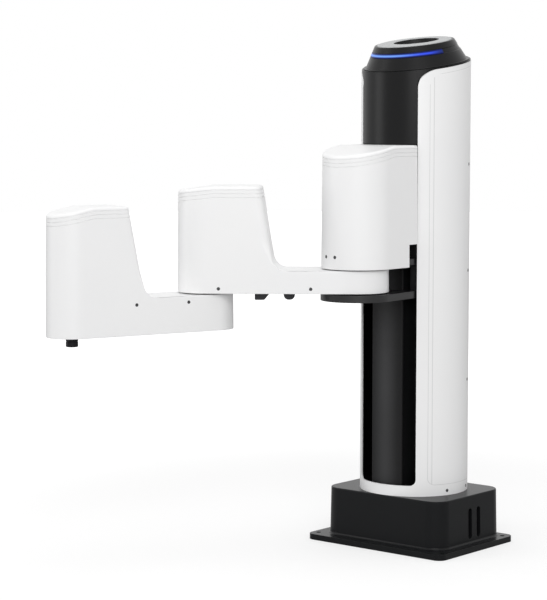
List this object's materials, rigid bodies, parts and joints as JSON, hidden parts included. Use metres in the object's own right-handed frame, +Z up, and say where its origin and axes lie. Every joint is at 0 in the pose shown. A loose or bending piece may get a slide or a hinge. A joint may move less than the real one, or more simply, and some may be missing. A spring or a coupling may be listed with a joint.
{
  "type": "scara robot",
  "caption": "Bench-top horizontal arm robot with a lifting carriage on a round column, swinging upper arm and forearm, and a turning output shaft.",
  "frame": {"origin": "centre of the foot plate's underside, which is the centre of its four bolt holes", "axes": "+Z up along the column, +X to the front from the column to the shoulder, +Y to the robot's left"},
  "size_m": [0.5548, 0.371, 0.6968],
  "materials": {
    "base_paint": "satin dark grey coat",
    "sheet_metal": "dark sheet",
    "port_metal": "grey plate",
    "socket_plastic": "black sockets",
    "stop_plastic": "red socket",
    "board": "green board",
    "supply_metal": "plain sheet case",
    "white_shell": "satin white",
    "screw_steel": "dark screw heads",
    "frame_metal": "dark machined plate",
    "beam_metal": "dark anodised",
    "strip_metal": "dark cover strip",
    "guide_steel": "ground steel",
    "motor_black": "black coated drive",
    "gear_metal": "machined",
    "black_metal": "black anodised",
    "black_cover": "satin black",
    "fitting_black": "black fittings",
    "light": "blue light guide",
    "lid_grey": "light grey",
    "output_steel": "dark ground shaft"
  },
  "bodies": {
    "base": {"base_casting": "base_paint", "belly_plate": "sheet_metal", "vent_baffles": "sheet_metal", "port_plate": "port_metal", "power_inlet": "socket_plastic", "network_sockets": "socket_plastic", "signal_socket": "socket_plastic", "stop_socket": "stop_plastic", "control_board": "board", "power_unit": "supply_metal", "column_shell": "white_shell", "rear_skin": "white_shell", "shell_screws": "screw_steel", "column_foot": "frame_metal", "column_beam": "beam_metal", "front_strip": "strip_metal", "guide_rails": "guide_steel", "lower_screw_bearing": "guide_steel", "upper_screw_bearing": "guide_steel", "drive_deck": "frame_metal", "drive_stand": "beam_metal", "lift_motor": "motor_black", "head_cover": "black_cover", "head_cap": "black_cover", "light_band": "light", "cap_lid": "lid_grey"},
    "lift_screw": {"ball_screw": "guide_steel", "shaft_coupling": "guide_steel"},
    "carriage": {"carriage_saddle": "black_metal", "guide_blocks": "guide_steel", "ball_nut": "guide_steel", "shoulder_bracket": "black_metal", "pivot_bearing": "guide_steel", "shoulder_housing": "white_shell", "shoulder_cover": "white_shell", "shoulder_screws": "screw_steel", "shoulder_gear_unit": "gear_metal", "shoulder_motor": "motor_black"},
    "upper_arm": {"upper_arm_shell": "white_shell", "elbow_cover": "white_shell", "upper_arm_screws": "screw_steel", "elbow_gear_unit": "gear_metal", "elbow_motor": "motor_black", "shoulder_hub": "gear_metal", "underside_fittings": "fitting_black"},
    "forearm": {"forearm_shell": "white_shell", "wrist_cover": "white_shell", "forearm_screws": "screw_steel", "wrist_gear_unit": "gear_metal", "wrist_motor": "motor_black", "elbow_hub": "gear_metal"},
    "output": {"output_shaft": "output_steel"}
  },
  "joints": [
    {"name": "z_lift", "type": "slide", "parent": "base", "child": "carriage", "axis": [0, 0, 1], "range_m": [-0.25, 0]},
    {"name": "screw_spin", "type": "hinge", "parent": "base", "child": "lift_screw", "pos_m": [-0.044, 0, 0.3], "axis": [0, 0, 1], "range_deg": [-9000, 1]},
    {"name": "shoulder", "type": "hinge", "parent": "carriage", "child": "upper_arm", "pos_m": [0.122, 0, 0.37], "axis": [0, 0, 1], "range_deg": [-37.7, 142.3]},
    {"name": "elbow", "type": "hinge", "parent": "upper_arm", "child": "forearm", "pos_m": [0.24431, -0.15824, 0.36], "axis": [0, 0, -1], "range_deg": [-75.4, 142.6]},
    {"name": "wrist", "type": "hinge", "parent": "forearm", "child": "output", "pos_m": [0.43375, -0.22237, 0.31], "axis": [0, 0, -1], "range_deg": [-360, 360]}
  ],
  "couplings": [
    {"joint": "screw_spin", "follows": "z_lift", "rad_per_m": 628.32}
  ]
}
